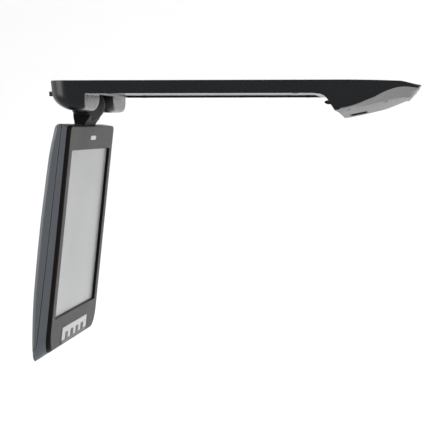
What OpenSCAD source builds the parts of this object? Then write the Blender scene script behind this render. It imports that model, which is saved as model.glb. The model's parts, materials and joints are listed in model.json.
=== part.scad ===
/* [Display] */
// visible picture area, width
lcd_w = 211.2; // [180:0.2:260]
// visible picture area, height
lcd_h = 158.4; // [140:0.2:200]
// dark border between the picture area and the bezel opening, all round
lcd_border = 0.8; // [0.4:0.2:2]
// bezel beside the display opening
bezel_side = 17.6; // [14:0.2:24]
// bezel between the hinge edge and the display opening
bezel_top = 23.4; // [20:0.2:30]
// bezel between the display opening and the free edge, holds the keys
bezel_bottom = 29.4; // [27:0.2:40]

/* [Screen case] */
// front face of the screen in front of the hinge axis
panel_front = 8.2; // [6.5:0.1:8.4]
// depth of the gloss black bezel part, seen from the side
rim_t = 4.3; // [3.6:0.1:5]
// back of the screen behind the hinge axis, at the hinge edge
panel_back = 7.6; // [6:0.1:10]
// extra depth of the curved back at its fullest
belly = 5.1; // [2:0.1:8]
// corner radius at the free edge
free_r = 20; // [10:1:28]
// corner radius at the hinge edge
top_r = 5; // [4:1:14]
// wall of the plastic shells
wall = 2.4; // [2:0.1:3]

/* [Hinge] */
// radius of the hinge knuckle at its middle
knuckle_r = 16.5; // [14:0.5:17]
// length of the hinge knuckle
knuckle_len = 76; // [60:1:90]
// hinge pin diameter
pin_d = 6; // [5:0.5:6]
// radial running clearance of the knuckle core on its pins
pin_fit = 0.05; // [0.02:0.01:0.1]
// angle from folded flat to the hanging position
hang_angle = 96; // [90:1:100]

/* [Arm and head] */
// thickness of the arm
arm_t = 12.2; // [11:0.1:16]
// height of the head below the shelf at its side edges
head_drop = 27.6; // [26:0.1:32]
// depth of the shallow tray under the arm, inside its rim
tray_d = 2.2; // [1:0.1:2.6]
// corner radius of the arm in plan at the hinge end
end_r = 20; // [10:1:26]
// thickness of the steel mounting plate
plate_t = 2; // [1.5:0.5:3]

/* [Shelf fixing] */
// screw spacing along the arm
mount_dx = 150; // [100:5:160]
// screw spacing across the arm
mount_dy = 150; // [75:5:180]
// hole in each threaded boss, tapping size of an M5 screw
mount_hole_d = 4.2; // [3.3:0.1:6.8]

/* [Keys] */
// key width, across the screen
key_w = 13; // [10:0.5:18]
// key height
key_h = 7; // [5:0.5:8]
// distance between key centres
key_pitch = 28; // [20:0.5:30]
// key travel
key_travel = 0.8; // [0.5:0.1:0.9]
// clearance round each key in the plate
key_gap = 0.25; // [0.15:0.05:0.5]

/* [Camera and lamps] */
// clear diameter of the camera window
window_d = 24; // [16:1:24]
// lamp window size along the arm
lamp_l = 17; // [12:1:20]
// lamp window size across the arm
lamp_w = 34; // [20:1:40]

/* [Hidden] */
$fn = 48;

win_w = lcd_w + 2 * lcd_border + 3.2;
win_h = lcd_h + 2 * lcd_border;
body_w = win_w + 2 * (bezel_side - 1.6);
hw = body_w / 2;

// hinge axis, in the frame of the shelf fixing
axis_x = -157;
axis_z = -(arm_t + panel_front + 1.1);

// screen, folded flat: u runs along X from the axis, v runs along Z
u0 = 19.6;
win_u0 = u0 + bezel_top;
win_u1 = win_u0 + win_h;
u_free = win_u1 + bezel_bottom;
win_uc = (win_u0 + win_u1) / 2;
free_slope = 0.773;
free_slant = atan(free_slope);
rim_v = panel_front - rim_t;
glass_v = panel_front - 2.8;
lcd_v = glass_v - 1;
panel_len = u_free - u0;

// head, placed from the free edge of the folded screen
hx = axis_x + u_free;
hx0 = hx + 16.2;
head_len = 79;
tip_x = hx0 + head_len;
end_x = -174;

function free_u(v) = u_free + (panel_front - v) * free_slope;

// fullness of the back, as parts of the length and of the belly
BACK = [
  [0, 0], [0.03, 0.14], [0.118, 0.57], [0.2, 0.73], [0.29, 0.84], [0.42, 0.98],
  [0.5, 1], [0.57, 1], [0.73, 0.94], [0.82, 0.8], [0.89, 0.61], [0.95, 0.39], [1.01, 0.06]
];
function back_line(inset) = [for (p = BACK)
  [u0 + p[0] * panel_len, -panel_back - p[1] * belly + inset]];
function rev(a) = [for (i = [len(a) - 1:-1:0]) a[i]];
seam_v0 = -1;
function seam_line() = [
  [u0, seam_v0], [u0 + 0.9 * panel_len, seam_v0 - 2.6], [u0 + 0.955 * panel_len, seam_v0 - 3.4],
  [u0 + 0.985 * panel_len, seam_v0 - 4.8], [u0 + 1.01 * panel_len, -panel_back - 0.06 * belly]
];

// head underside: heights below the shelf at stations along the head
// each row: station, side edge, crease, middle line
HEAD = [
  [0, 27.6, 27.6, 27.6], [3.4, 27.5, 28, 31.6], [6, 27, 28.2, 34.4], [12, 25.8, 26.7, 33.5],
  [18, 24.1, 25.3, 32.4], [24, 21.9, 24.4, 31.1], [30, 19.4, 23.4, 29.6], [36, 17, 21.9, 28.2],
  [42, 13.8, 20.3, 26.8], [48, 11.1, 18.8, 25], [54, 9.1, 17.4, 22.7], [60, 7.9, 16.4, 20.2],
  [66, 7.8, 16.2, 17.6], [69, 8.1, 16.5, 16.7], [72, 8.5, 13.1, 13.2], [75.6, 8.9, 9.05, 9.1],
  [76.4, 8.6, 8.6, 8.6]
];
rim_up = 1.2;
crease_y = hw - 9;
drop_k = head_drop / 27.6;
function head_z(i, y) =
  let (r = HEAD[i], a = abs(y))
  -drop_k * (a > crease_y
    ? r[1] + (r[2] - r[1]) * (hw - a) / (hw - crease_y)
    : r[2] + (r[3] - r[2]) * (1 - pow(a / crease_y, 2)));
function side_z(i) = -drop_k * HEAD[i][1] + rim_up;

module along_y(y0, y1) {
  translate([0, y1, 0])
    rotate([90, 0, 0])
      linear_extrude(y1 - y0)
        children();
}

// the outline of one lamp, grown by a margin
module lamp_box(grow, z0, z1) {
  box(lamp_x - lamp_l / 2 - grow, lamp_x + lamp_l / 2 + grow,
    lamp_y - lamp_w / 2 - grow, lamp_y + lamp_w / 2 + grow, z0, z1);
}

module both_sides() {
  children();
  mirror([0, 1, 0]) children();
}

module rrect(x0, x1, y0, y1, r) {
  translate([x0 + r, y0]) square([x1 - x0 - 2 * r, y1 - y0]);
  translate([x0, y0 + r]) square([x1 - x0, y1 - y0 - 2 * r]);
  for (x = [x0 + r, x1 - r]) {
    for (y = [y0 + r, y1 - r]) {
      translate([x, y]) circle(r);
    }
  }
}

module box(x0, x1, y0, y1, z0, z1) {
  translate([x0, y0, z0]) cube([x1 - x0, y1 - y0, z1 - z0]);
}

module post(x, y, z0, z1, r) {
  translate([x, y, z0]) cylinder(r = r, h = z1 - z0);
}

module screw(x, y, z_head, len, r, up) {
  // pan head screw: head at z_head, shank towards up (+1) or down (-1)
  translate([x, y, z_head])
    mirror([0, 0, up > 0 ? 0 : 1])
      difference() {
        union() {
          translate([0, 0, -1.6 * r]) cylinder(r = 1.9 * r, h = 1.6 * r);
          cylinder(r = r, h = len);
        }
        translate([0, 0, -1.6 * r - 0.1]) cylinder(r = 0.9 * r, h = 0.8 * r, $fn = 6);
      }
}

// puts a screen part, drawn folded flat, into the hanging position
module hang() {
  translate([axis_x, 0, axis_z])
    rotate([0, hang_angle, 0])
      children();
}

/* ---------- arm and head ---------- */

bulge_x1 = axis_x + u0 - 1.2;
bulge_low = axis_z - 5.9;
// inner floor of the arm
floor_z = -arm_t + tray_d + 2;
notch_y = knuckle_len / 2 + 2;

module arm_profile() {
  polygon(concat(
    [[end_x, 0], [end_x + 0.8, -7.7], [end_x + 2, -14.5], [end_x + 5, -19.7],
      [end_x + 9.5, bulge_low + 3.8], [end_x + 15, bulge_low + 0.9], [end_x + 21.5, bulge_low - 0.8],
      [end_x + 28, bulge_low - 1], [bulge_x1 - 2.4, bulge_low], [bulge_x1, bulge_low + 2.3],
      [bulge_x1, -arm_t - 0.7], [bulge_x1 + 0.7, -arm_t], [hx - 4, -arm_t], [hx + 3.2, -arm_t - 1],
      [hx + 6.6, -arm_t - 2.6], [hx + 10.3, -18.5 * drop_k]],
    [[hx0, -head_drop], [hx0 + 3.2, -head_drop]],
    [for (i = [1:len(HEAD) - 1]) [hx0 + HEAD[i][0] + (i == 1 ? 0.1 : 0), side_z(i)]],
    [[tip_x - 2.3, -7.4 * drop_k], [tip_x, -5], [tip_x - 6, -3.9], [tip_x - 17, -1.7], [tip_x - 22, -1],
      [tip_x - 43, -0.5], [tip_x - 66, 0]]
  ));
}

// outline seen along the arm: the bulges are crowned and rounded towards the knuckle
module arm_outline() {
  rotate([90, 0, 90])
    translate([0, 0, end_x - 1])
      linear_extrude(tip_x - end_x + 2)
        polygon(concat(
          [[-hw, 1], [-hw, bulge_low + 2.2], [-hw + 3, bulge_low + 0.5], [-hw + 14, bulge_low - 0.7],
            [-hw * 0.68, bulge_low - 1], [-notch_y - 22, bulge_low - 0.8], [-notch_y - 14, bulge_low],
            [-notch_y - 8, bulge_low + 1.6], [-notch_y - 4, bulge_low + 4], [-notch_y - 1.4,
              bulge_low + 7.4],
            [-notch_y, bulge_low + 12]],
          [[notch_y, bulge_low + 12], [notch_y + 1.4, bulge_low + 7.4], [notch_y + 4, bulge_low + 4],
            [notch_y + 8, bulge_low + 1.6], [notch_y + 14, bulge_low], [notch_y + 22, bulge_low - 0.8],
            [hw * 0.68, bulge_low - 1], [hw - 14, bulge_low - 0.7], [hw - 3, bulge_low + 0.5],
            [hw, bulge_low + 2.2], [hw, 1]]
        ));
}

module arm_plan() {
  difference() {
    translate([end_x, -hw]) square([tip_x - end_x, body_w]);
    for (s = [-1, 1]) {
      translate([end_x, s * hw]) end_corner(1, -s, end_r);
      translate([tip_x, s * hw]) end_corner(-1, -s, 7);
    }
  }
}

module end_corner(sx, sy, r) {
  mirror([sx > 0 ? 0 : 1, 0])
    mirror([0, sy > 0 ? 0 : 1])
      difference() {
        translate([-1, -1]) square([r + 1, r + 1]);
        translate([r, r]) circle(r);
      }
}

module arm_cavity_plan() {
  difference() {
    translate([end_x + wall + 0.6, -hw + wall]) square([hx + 20.2 - end_x - wall - 0.6, body_w - 2 * wall]);
    for (s = [-1, 1]) {
      translate([end_x + wall + 0.6, s * (hw - wall)]) end_corner(1, -s, end_r - wall);
    }
  }
}

module arm_cavity() {
  // open upwards, closed by the mounting plate
  intersection() {
    translate([0, 0, -40]) linear_extrude(41) arm_cavity_plan();
    union() {
      along_y(-hw, hw) polygon([[end_x + 2, 1], [end_x + 2, floor_z], [hx + 5.5, floor_z],
        [hx + 20.2, floor_z],
        [hx + 20.2, 1]]);
      both_sides() along_y(bracket_y - 2, hw) polygon([[end_x + 3, 0], [end_x + 4.4, -13.5],
        [end_x + 7.2, -18],
        [end_x + 11, bulge_low + 5.6], [end_x + 16, bulge_low + 3.6], [end_x + 22, bulge_low + 2.4],
        [bulge_x1 - 3.6, bulge_low + 2.9], [bulge_x1 - wall, bulge_low + 4.4], [bulge_x1 - wall, 0]]);
    }
  }
}

module head_cavity() {
  // open downwards, closed by the head cover
  along_y(-hw + wall, hw - wall)
    polygon([[hx + 6, -arm_t + 2.2], [hx + 9, -arm_t], [hx + 13, -17.2 * drop_k], [hx0 + 3.4,
      -head_drop + 0.6],
      [hx0 + 3.4, -60], [hx0 + 71, -60], [hx0 + 71, -6.2], [hx0 + 58, -3.4], [hx0 + 36, -2.7],
        [hx + 22.4, -2.4],
      [hx + 22.4, -5], [hx + 6, -5]]);
}

module knuckle_pocket() {
  translate([axis_x, -notch_y, axis_z])
    rotate([-90, 0, 0])
      cylinder(r = knuckle_r + 0.6, h = 2 * notch_y, $fn = 96);
  box(end_x - 5, bulge_x1 + 0.5, -notch_y, notch_y, -60, -arm_t - 0.2);
}

// underside of the main board
board_z = floor_z + 0.5;
// seats of the cover screws, front and rear pair
screw_z = [-16.5 * drop_k, -24 * drop_k];
lamp_x = hx0 + 20.5;
lamp_y = 45 * body_w / 248;
cam_x = hx0 + 32;
switch_y = -98 * body_w / 248;
jack_y = 92 * body_w / 248;
end_feature_z = -12.2;

module arm_housing() {
  color([0.05, 0.05, 0.055])
    difference() {
      union() {
        difference() {
          intersection() {
            along_y(-hw, hw) arm_profile();
            translate([0, 0, -60]) linear_extrude(61) arm_plan();
            union() {
              arm_outline();
              box(bulge_x1 + 5, tip_x + 1, -hw, hw, -60, 1);
            }
          }
          arm_cavity();
          head_cavity();
          knuckle_pocket();
        }
        // skin over the knuckle pocket
        intersection() {
          box(end_x + 0.9, axis_x + 22, -notch_y - wall, notch_y + wall, -arm_t + 0.1, -plate_t - 0.1);
          difference() {
            box(end_x + 0.9, axis_x + 22, -notch_y - wall, notch_y + wall, -arm_t, -plate_t - 0.1);
            translate([axis_x, -hw, axis_z]) rotate([-90, 0, 0]) cylinder(r = knuckle_r + 0.6,
              h = body_w, $fn = 96);
          }
        }
        // bosses for the plate screws, under the plate
        for (x = [end_x + 44, 0, hx + 6]) {
          both_sides() post(x, hw - 9, floor_z - 1, -plate_t, 4);
        }
        // posts for the main board
        for (x = [-52, 52]) {
          for (y = [-42, 42]) post(x, y, floor_z - 1, board_z, 3);
        }
        // posts under the head skin, for the cover screws and the camera board
        both_sides() post(hx0 + 46, hw - 17, screw_z[0] + 3.5, -2, 4);
        both_sides() post(hx0 + 12, hw - 17, screw_z[1] + 4, -2, 4);
        for (y = [-13, 13]) {
          for (x = [cam_x - 13, cam_x + 13]) post(x, y, -12, -2, 2.5);
        }
        // posts for the lamp boards
        both_sides() {
          for (y = [lamp_y - 12, lamp_y + 12]) post(lamp_x, y, -18, -2, 3);
        }
        // seat of the catch
        box(hx0 + 2, hx0 + 14, -14, 14, -15.5, -2);
      }
      // tray under the arm
      translate([0, 0, -arm_t - 1])
        linear_extrude(tray_d + 1)
          rrect(bulge_x1 + 3.5, hx - 6, -hw + 5, hw - 5, 6);
      // pin passages in the inner cheeks
      translate([axis_x, -bracket_y - 6, axis_z])
        rotate([-90, 0, 0])
          cylinder(r = pin_d / 2 + 0.7, h = 2 * bracket_y + 12);
      // opening for the catch nose
      box(hx + 4, hx0 + 6, -9.4, 9.4, -21.4, -16.6);
      // slot of the slide switch and hole of the power inlet
      box(end_x - 1, end_x + 5, switch_y - 7, switch_y + 7, end_feature_z - 2.6, end_feature_z + 2.6);
      box(end_x + 4.55, end_x + 12.05, switch_y - 9.05, switch_y + 9.05, end_feature_z - 4.45, -7.75);
      translate([end_x - 1, jack_y, end_feature_z]) rotate([0, 90, 0]) cylinder(r = 4.04, h = 18);
      // screw holes
      for (x = [end_x + 44, 0, hx + 6]) {
        both_sides() post(x, hw - 9, floor_z - 0.6, 0, 1.25);
      }
      both_sides() post(hx0 + 46, hw - 17, -14, -4, 1.25);
      both_sides() post(hx0 + 12, hw - 17, -21, -4, 1.25);
    }
}

module mount_plate() {
  color([0.62, 0.63, 0.65])
    difference() {
      union() {
        translate([0, 0, -plate_t])
          linear_extrude(plate_t)
            difference() {
              translate([end_x + wall + 1, -hw + wall + 0.4])
                square([hx + 19.8 - end_x - wall - 1, body_w - 2 * wall - 0.8]);
              for (s = [-1, 1]) {
                translate([end_x + wall + 1, s * (hw - wall - 0.4)]) end_corner(1, -s, end_r - wall - 0.4);
              }
            }
        for (x = [-mount_dx / 2, mount_dx / 2]) {
          for (y = [-mount_dy / 2, mount_dy / 2]) post(x, y, floor_z + 0.2, -plate_t + 0.1, 5);
        }
      }
      for (x = [-mount_dx / 2, mount_dx / 2]) {
        for (y = [-mount_dy / 2, mount_dy / 2]) post(x, y, floor_z, 1, mount_hole_d / 2);
      }
      for (x = [end_x + 44, 0, hx + 6]) {
        both_sides() post(x, hw - 9, -plate_t - 1, 1, 1.7);
        both_sides() translate([x, hw - 9, -1.3]) cylinder(r1 = 1.7, r2 = 3.4, h = 1.4);
      }
    }
}

module plate_screws() {
  color([0.2, 0.2, 0.21])
    for (x = [end_x + 44, 0, hx + 6]) {
      both_sides() {
        post(x, hw - 9, floor_z + 0.2, -0.1, 1.25);
        translate([x, hw - 9, -1.5]) cylinder(r1 = 1.25, r2 = 2.9, h = 1.35);
      }
    }
}

bracket_y = notch_y + 14;
// cheeks of the knuckle core, which turn on the pins
cheek_y0 = knuckle_len / 2 - 11;
cheek_y1 = knuckle_len / 2 - 4;

module hinge_brackets() {
  color([0.55, 0.56, 0.58])
    both_sides()
      difference() {
        union() {
          along_y(bracket_y, bracket_y + 5)
            difference() {
              union() {
                polygon([[axis_x - 10, -plate_t], [axis_x + 15.4, -plate_t],
                  [axis_x + 15.4, -arm_t], [axis_x + pin_d / 2 + 0.5, axis_z],
                  [axis_x - pin_d / 2 - 0.5, axis_z], [axis_x - 10, -arm_t]]);
                translate([axis_x, axis_z]) circle(pin_d / 2 + 0.6);
              }
              translate([axis_x, axis_z]) circle(pin_d / 2);
            }
          box(axis_x - 10, axis_x + 15.4, bracket_y, bracket_y + 20, -plate_t - 3, -plate_t);
        }
        for (x = [axis_x - 4, axis_x + 9]) post(x, bracket_y + 13, -plate_t - 4, 0, 1.6);
      }
}

module bracket_screws() {
  color([0.3, 0.3, 0.31])
    both_sides()
      for (x = [axis_x - 4, axis_x + 9]) screw(x, bracket_y + 13, -plate_t - 3, 2.9, 1.5, 1);
}

module hinge_pins() {
  color([0.7, 0.71, 0.73])
    both_sides()
      translate([axis_x, 14, axis_z])
        rotate([-90, 0, 0])
          cylinder(d = pin_d, h = bracket_y + 5 - 14);
}

module friction_washers() {
  color([0.75, 0.68, 0.45])
    both_sides()
      for (k = [0:2]) {
        translate([axis_x, cheek_y0 - 1.3 * (k + 1), axis_z])
          rotate([-90, 0, 0])
            difference() {
              cylinder(r = 7.4, h = 1.2);
              translate([0, 0, -1]) cylinder(d = pin_d, h = 4);
            }
      }
}

module hinge_nuts() {
  color([0.7, 0.7, 0.72])
    both_sides()
      translate([axis_x, cheek_y0 - 3.9 - 5.1, axis_z])
        rotate([-90, 0, 0])
          difference() {
            cylinder(r = 6.6, h = 5, $fn = 6);
            translate([0, 0, -1]) cylinder(d = pin_d, h = 8);
          }
}

ys = [for (k = [-14:14])
  k == -14 ? -hw : k == 14 ? hw : k == -13 ? -hw + wall + 0.2 : k == 13 ? hw - wall - 0.2 :
  (k / 12) * crease_y];

function cover_top(i, y) =
  abs(y) > hw - wall - 0.25 || i < 2 ? min(side_z(i), i < 2 ? -head_drop : 0)
    : min(head_z(i, y) + 2.2, i > 13 ? side_z(i) : 0);

module head_cover() {
  n = len(HEAD);
  m = len(ys);
  low = [for (i = [0:n - 1]) for (y = ys) [hx0 + HEAD[i][0], y, head_z(i, y) - (i < 2 ? 1.2 : 0)]];
  up = [for (i = [0:n - 1]) for (y = ys) [hx0 + HEAD[i][0] + (i == 1 ? 0.2 : 0), y, cover_top(i, y)]];
  c = n * m;
  color([0.72, 0.72, 0.73])
    difference() {
      union() {
        both_sides() post(hx0 + 46, hw - 17, screw_z[0] - 2.4, screw_z[0] + 3.5, 4);
        both_sides() post(hx0 + 12, hw - 17, screw_z[1] - 2.2, screw_z[1] + 4, 4);
        polyhedron(
          points = concat(low, up),
          faces = concat(
            [for (i = [0:n - 2]) for (j = [0:m - 2]) [i * m + j, (i + 1) * m + j, (i + 1) * m + j + 1]],
            [for (i = [0:n - 2]) for (j = [0:m - 2]) [i * m + j, (i + 1) * m + j + 1, i * m + j + 1]],
            [for (i = [0:n - 2]) for (j = [0:m - 2]) [c + i * m + j, c + (i + 1) * m + j + 1,
              c + (i + 1) * m + j]],
            [for (i = [0:n - 2]) for (j = [0:m - 2]) [c + i * m + j, c + i * m + j + 1, c + (i + 1)
              * m + j + 1]],
            [for (j = [0:m - 2]) [j, j + 1, c + j + 1]],
            [for (j = [0:m - 2]) [j, c + j + 1, c + j]],
            [for (j = [0:m - 2]) [(n - 1) * m + j, c + (n - 1) * m + j + 1, (n - 1) * m + j + 1]],
            [for (j = [0:m - 2]) [(n - 1) * m + j, c + (n - 1) * m + j, c + (n - 1) * m + j + 1]],
            [for (i = [0:n - 2]) [i * m, c + (i + 1) * m, (i + 1) * m]],
            [for (i = [0:n - 2]) [i * m, c + i * m, c + (i + 1) * m]],
            [for (i = [0:n - 2]) [i * m + m - 1, (i + 1) * m + m - 1, c + (i + 1) * m + m - 1]],
            [for (i = [0:n - 2]) [i * m + m - 1, c + (i + 1) * m + m - 1, c + i * m + m - 1]]
          )
        );
      }
      post(cam_x, 0, -60, 0, window_d / 2 + 0.3);
      both_sides() lamp_box(0, -60, 0);
      both_sides() {
        post(hx0 + 46, hw - 17, -60, 0, 1.6);
        post(hx0 + 46, hw - 17, -60, screw_z[0], 2.8);
        post(hx0 + 12, hw - 17, -60, 0, 1.6);
        post(hx0 + 12, hw - 17, -60, screw_z[1], 2.8);
      }
    }
}

module cover_screws() {
  color([0.25, 0.25, 0.26])
    both_sides() {
      post(hx0 + 46, hw - 17, screw_z[0], -4.5, 1.25);
      post(hx0 + 46, hw - 17, screw_z[0] - 1.8, screw_z[0], 2.6);
      post(hx0 + 12, hw - 17, screw_z[1], -4.5, 1.25);
      post(hx0 + 12, hw - 17, screw_z[1] - 1.8, screw_z[1], 2.6);
    }
}

cam_z = -25.7 * drop_k;

module camera_window() {
  color([0.2, 0.22, 0.25])
    post(cam_x, 0, cam_z, cam_z + 1.4, window_d / 2 - 1.2);
}

module lens_barrel() {
  color([0.04, 0.04, 0.045])
    difference() {
      post(cam_x, 0, cam_z, -13.6, window_d / 2);
      post(cam_x, 0, cam_z - 1, cam_z + 1.4, window_d / 2 - 1.2);
      post(cam_x, 0, cam_z + 1, cam_z + 4, window_d / 2 - 2.4);
      translate([cam_x, 0, cam_z + 3.9]) cylinder(r1 = window_d / 2 - 4, r2 = 3, h = 4);
      post(cam_x, 0, cam_z + 7, -13, 3);
    }
}

module sensor_board() {
  color([0.1, 0.3, 0.16]) {
    difference() {
      box(cam_x - 17, cam_x + 17, -17, 17, -13.6, -12);
      for (y = [-13, 13]) {
        for (x = [cam_x - 13, cam_x + 13]) post(x, y, -15, -11, 1);
      }
    }
    box(cam_x - 5, cam_x + 5, -5, 5, -12.05, -10.6);
  }
}

lamp_z = -25.6 * drop_k;

module lamp_bezels() {
  color([0.03, 0.03, 0.03])
    both_sides()
      difference() {
        lamp_box(-0.2, lamp_z, -19.6);
        lamp_box(-1.4, lamp_z - 1, -19);
      }
}

module lamp_lenses() {
  color([0.9, 0.9, 0.85, 0.6])
    both_sides()
      lamp_box(-1.4, -22.4, -21);
}

module lamp_boards() {
  color([0.85, 0.85, 0.82])
    both_sides() {
      lamp_box(2, -19.6, -18);
      for (y = [lamp_y - 8, lamp_y, lamp_y + 8]) box(lamp_x - 2, lamp_x + 2, y - 2, y + 2, -20.6, -19.5);
    }
}

module main_board() {
  color([0.1, 0.32, 0.18]) {
    difference() {
      box(-60, 60, -50, 50, board_z, board_z + 1.6);
      for (x = [-52, 52]) {
        for (y = [-42, 42]) post(x, y, -9, -5, 1.1);
      }
    }
    box(-30, -14, -10, 10, board_z + 1.5, board_z + 3);
    box(0, 12, -30, -16, board_z + 1.5, board_z + 2.8);
    box(20, 40, 10, 34, board_z + 1.5, board_z + 3.2);
    box(-56, -50, -20, 20, board_z + 1.5, board_z + 4);
  }
}

module heat_spreader() {
  color([0.75, 0.76, 0.78])
    box(-34, -10, -14, 14, board_z + 3, -plate_t);
}

module power_inlet() {
  color([0.08, 0.08, 0.085]) {
    translate([end_x + 3.4, jack_y, end_feature_z])
      rotate([0, 90, 0])
        difference() {
          cylinder(r = 4, h = 12);
          translate([0, 0, -1]) cylinder(r = 2.9, h = 11);
        }
    translate([end_x + 4.4, jack_y, end_feature_z])
      rotate([0, 90, 0])
        cylinder(r = 1, h = 10);
  }
}

module switch_body() {
  color([0.12, 0.12, 0.13])
    difference() {
      box(end_x + 4.6, end_x + 12, switch_y - 9, switch_y + 9, end_feature_z - 4.4, end_feature_z + 4.4);
      box(end_x + 4, end_x + 8, switch_y - 6.6, switch_y + 6.6, end_feature_z - 1.4, end_feature_z + 1.4);
    }
}

module switch_knob() {
  color([0.05, 0.05, 0.05]) {
    box(end_x - 2, end_x + 3.4, switch_y - 5.5, switch_y + 1.5, end_feature_z - 2.2, end_feature_z + 2.2);
    box(end_x + 3.3, end_x + 7.6, switch_y - 4, switch_y, end_feature_z - 1.2, end_feature_z + 1.2);
  }
}

module catch_housing() {
  color([0.1, 0.1, 0.105])
    difference() {
      box(hx0 + 3.8, hx0 + 15, -13, 13, -23, -15.5);
      box(hx0 + 3, hx0 + 13.4, -9.1, 9.1, -21.1, -16.9);
    }
}

module catch_plunger() {
  color([0.8, 0.8, 0.78])
    along_y(-8.9, 8.9)
      polygon([[hx + 2.4, -19.7], [hx + 2.4, -18.3], [hx + 4.8, -17.1], [hx0 + 9.8, -17.1],
        [hx0 + 9.8, -20.9],
        [hx + 4.8, -20.9]]);
}

module buffer_pads() {
  color([0.06, 0.06, 0.06])
    both_sides()
      for (x = [axis_x + 40, hx - 20]) post(x, hw - 9, -arm_t - 0.2, -arm_t + tray_d, 3);
}

/* ---------- knuckle, turns with the screen ---------- */

module knuckle_body(r_add) {
  // crowned barrel, closed ends
  half = knuckle_len / 2;
  rotate([-90, 0, 0])
    rotate_extrude($fn = 96)
      polygon(concat(
        [[0, -half], [knuckle_r - 5.5 + r_add, -half]],
        [for (k = [-9:9]) [knuckle_r + r_add - 3.4 * pow(k / 9.6, 2), k * (half - 1.4) / 9]],
        [[knuckle_r - 5.5 + r_add, half], [0, half]]
      ));
}

neck_w = 66;

module knuckle_shell() {
  color([0.04, 0.04, 0.045])
    hang()
      difference() {
        union() {
          knuckle_body(0);
          along_y(-neck_w / 2, neck_w / 2)
            polygon([[8, -8], [u0, -6.6], [u0, 3], [8, 9]]);
        }
        rotate([90, 0, 0]) translate([0, 0, -hw]) cylinder(r = 9.2, h = body_w);
        box(0, u0 + 1, -neck_w / 2 + 2.4, neck_w / 2 - 2.4, -0.1, 3.3 - 0.3);
      }
}

core_v0 = 0;
core_v1 = 2.9;

module knuckle_core() {
  color([0.5, 0.51, 0.53])
    hang()
      difference() {
        union() {
          both_sides() translate([0, cheek_y1, 0]) rotate([90, 0, 0]) cylinder(r = 9.1,
            h = cheek_y1 - cheek_y0);
          box(8, u0 + 16, -neck_w / 2 + 2.6, neck_w / 2 - 2.6, core_v0, core_v1);
        }
        translate([0, hw, 0]) rotate([90, 0, 0]) cylinder(r = pin_d / 2 + pin_fit, h = body_w);
        for (y = [-20, 0, 20]) post(u0 + 9, y, -3, 6, 1.6);
      }
}

module core_screws() {
  color([0.3, 0.3, 0.31])
    hang()
      for (y = [-20, 0, 20]) screw(u0 + 9, y, core_v0, 3.7, 1.4, 1);
}

/* ---------- screen ---------- */

module slanted() {
  translate([u_free, 0, panel_front])
    rotate([0, -free_slant, 0])
      children();
}

module corner_cuts(inset) {
  rf = free_r - inset;
  rt = max(top_r - inset, 1);
  both_sides() {
    slanted()
      difference() {
        translate([-inset - rf, hw - inset - rf, -60]) cube([rf + 12, rf + 12, 90]);
        translate([-inset - rf, hw - inset - rf, -61]) cylinder(r = rf, h = 92, $fn = 64);
      }
    difference() {
      translate([u0 + inset - 12, hw - inset - rt, -40]) cube([rt + 12, rt + 12, 80]);
      translate([u0 + inset + rt, hw - inset - rt, -41]) cylinder(r = rt, h = 82, $fn = 48);
    }
  }
}

module panel_slice(inset) {
  difference() {
    along_y(-hw + inset, hw - inset) children();
    corner_cuts(inset);
  }
}

module front_bezel() {
  color([0.08, 0.08, 0.08])
    hang()
      difference() {
        panel_slice(0)
          polygon([[u0, rim_v], [u0, panel_front - 0.8], [u0 + 0.8, panel_front], [u_free - 0.6,
            panel_front],
            [free_u(panel_front - 0.8), panel_front - 0.8], [free_u(rim_v), rim_v]]);
        panel_slice(wall)
          polygon([[u0 + wall, rim_v - 1], [u0 + wall, glass_v], [u_free - wall - 1, glass_v],
            [free_u(rim_v) - wall - 1, rim_v - 1]]);
        box(win_u0, win_u1, -win_w / 2, win_w / 2, 0, panel_front + 1);
        key_openings(0);
        post(key_u - 4, 2.08 * key_pitch, 0, panel_front + 1, 1.5);
      }
}

module screen_frame() {
  color([0.38, 0.39, 0.41])
    hang() {
      frame_ring();
      // web that the knuckle core is screwed to
      difference() {
        box(u0 + wall - 0.2, u0 + 15, -30, 30, core_v1, rim_v);
        for (y = [-20, 0, 20]) post(u0 + 9, y, 0, 9, 1.45);
      }
    }
}

module frame_ring() {
  difference() {
    panel_slice(0)
      polygon(concat(
        [[u0, rim_v], [free_u(rim_v), rim_v], [free_u(-panel_back + 1.6), -panel_back + 1.6],
          [free_u(-panel_back + 0.5) - 0.6, -panel_back + 0.5],
          [free_u(-panel_back) - 2.6, -panel_back - 0.06 * belly]],
        rev(seam_line())));
    panel_slice(wall)
      polygon([[u0 + wall, rim_v + 1], [free_u(rim_v + 1) - wall - 1.4, rim_v + 1],
        [u_free - 2.1, -3.2], [u_free - 8.5, -20], [u0 + wall, -20]]);
    // passage of the knuckle core
    box(u0 - 1, u0 + wall + 1, -neck_w / 2 + 2.4, neck_w / 2 - 2.4, core_v0 - 0.1, core_v1 + 0.1);
    // pocket for the catch
    box(u_free + 1.5, u_free + 20, -10.5, 10.5, -21.6 - axis_z, -16.4 - axis_z);
  }
}

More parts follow.
